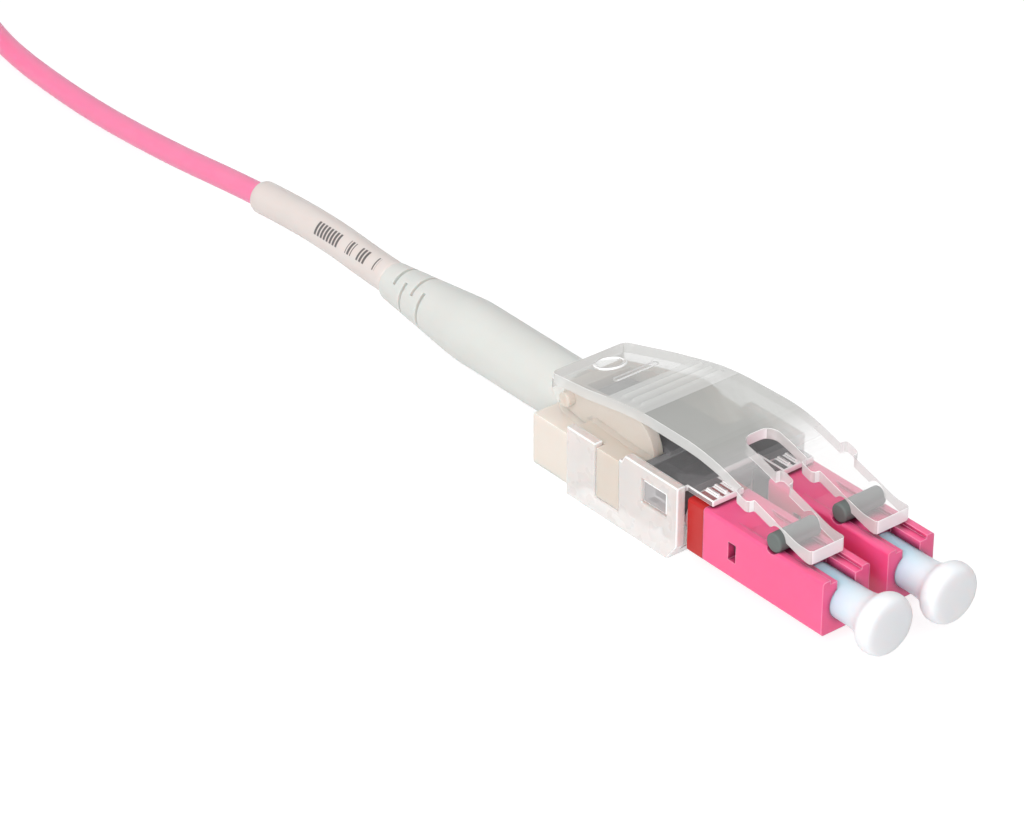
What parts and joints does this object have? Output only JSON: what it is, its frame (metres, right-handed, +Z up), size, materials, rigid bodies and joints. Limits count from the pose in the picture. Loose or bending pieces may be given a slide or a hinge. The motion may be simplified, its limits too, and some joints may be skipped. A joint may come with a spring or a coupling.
{
  "type": "lc fibre connector",
  "caption": "Duplex LC fibre connector with a one-piece clear latch cover, dust caps and a round boot, on a pink cord that is put away in a tied hank.",
  "frame": {"origin": "midway between the two plug axes, in the plane of the plug noses", "axes": "+X forward out of the plug noses, +Y to the connector's left, +Z up; the underside is at Z = -3.3 mm"},
  "size_m": [0.2588, 0.023, 0.013],
  "materials": {
    "clear_shell": "clear polycarbonate, glossy",
    "frosted_shell": "clear polycarbonate, faintly hazed",
    "deck_shell": "clear polycarbonate plate over a dark carrier",
    "carrier": "dark grey moulded plastic",
    "yoke": "cream moulded plastic",
    "rear_block": "off-white moulded plastic",
    "boot": "white flexible moulding, satin",
    "crimp": "nickel-plated metal",
    "plug": "pink moulded plastic",
    "collar_red": "red moulded plastic",
    "collar_black": "black moulded plastic",
    "barrel": "pale pink moulded plastic",
    "latch_bar": "grey-green moulded plastic",
    "spring": "bright spring steel",
    "fibre": "buffered fibre",
    "ferrule": "polished zirconia ceramic",
    "holder": "nickel-plated metal",
    "dust_cap": "white soft plastic, slightly see-through",
    "cord": "pink cord jacket, satin",
    "sleeve": "white printed sleeve, left bare",
    "tie": "woven hook-and-loop strap"
  },
  "bodies": {
    "connector": {"housing": "frosted_shell", "deck_plate": "deck_shell", "carrier": "carrier", "yoke": "yoke", "rear_block": "rear_block", "boot": "boot", "crimp_body": "crimp", "crimp_ring": "crimp", "plug_right": "plug", "plug_left": "plug", "collar_right": "collar_red", "collar_left": "collar_black", "barrel_right": "barrel", "barrel_left": "barrel", "latch_bar_right": "latch_bar", "latch_bar_left": "latch_bar", "spring_right": "spring", "spring_left": "spring", "fibre_right": "fibre", "fibre_left": "fibre", "cord": "cord", "cord_hank": "cord", "cord_tail": "cord", "hank_tie": "tie", "label_sleeve": "sleeve", "far_housing": "frosted_shell", "far_deck_plate": "deck_shell", "far_carrier": "carrier", "far_yoke": "yoke", "far_rear_block": "rear_block", "far_latch_cover": "clear_shell", "far_boot": "boot", "far_plug_right": "plug", "far_plug_left": "plug", "far_collar_right": "collar_red", "far_collar_left": "collar_black", "far_barrel_right": "barrel", "far_barrel_left": "barrel", "far_latch_bar_right": "latch_bar", "far_latch_bar_left": "latch_bar", "far_dust_cap_right": "dust_cap", "far_dust_cap_left": "dust_cap"},
    "latch_cover": {"latch_cover": "clear_shell"},
    "ferrule_unit_right": {"ferrule_right": "ferrule", "ferrule_holder_right": "holder"},
    "dust_cap_right": {"dust_cap_right": "dust_cap"},
    "ferrule_unit_left": {"ferrule_left": "ferrule", "ferrule_holder_left": "holder"},
    "dust_cap_left": {"dust_cap_left": "dust_cap"}
  },
  "joints": [
    {"name": "cover_press", "type": "hinge", "parent": "connector", "child": "latch_cover", "pos_m": [-0.0304, 0, 0.0023], "axis": [0, 1, 0], "range_deg": [0, 0.5], "stiffness_Nm_per_rad": 0.003, "springref_deg": -2.86},
    {"name": "ferrule_float_right", "type": "slide", "parent": "connector", "child": "ferrule_unit_right", "axis": [1, 0, 0], "range_m": [-0.001, 0], "stiffness_N_per_m": 10, "springref_m": 0.01, "deforming": ["spring_right"]},
    {"name": "cap_pull_right", "type": "slide", "parent": "connector", "child": "dust_cap_right", "axis": [1, 0, 0], "range_m": [0, 0.006]},
    {"name": "ferrule_float_left", "type": "slide", "parent": "connector", "child": "ferrule_unit_left", "axis": [1, 0, 0], "range_m": [-0.001, 0], "stiffness_N_per_m": 10, "springref_m": 0.01, "deforming": ["spring_left"]},
    {"name": "cap_pull_left", "type": "slide", "parent": "connector", "child": "dust_cap_left", "axis": [1, 0, 0], "range_m": [0, 0.006]}
  ]
}
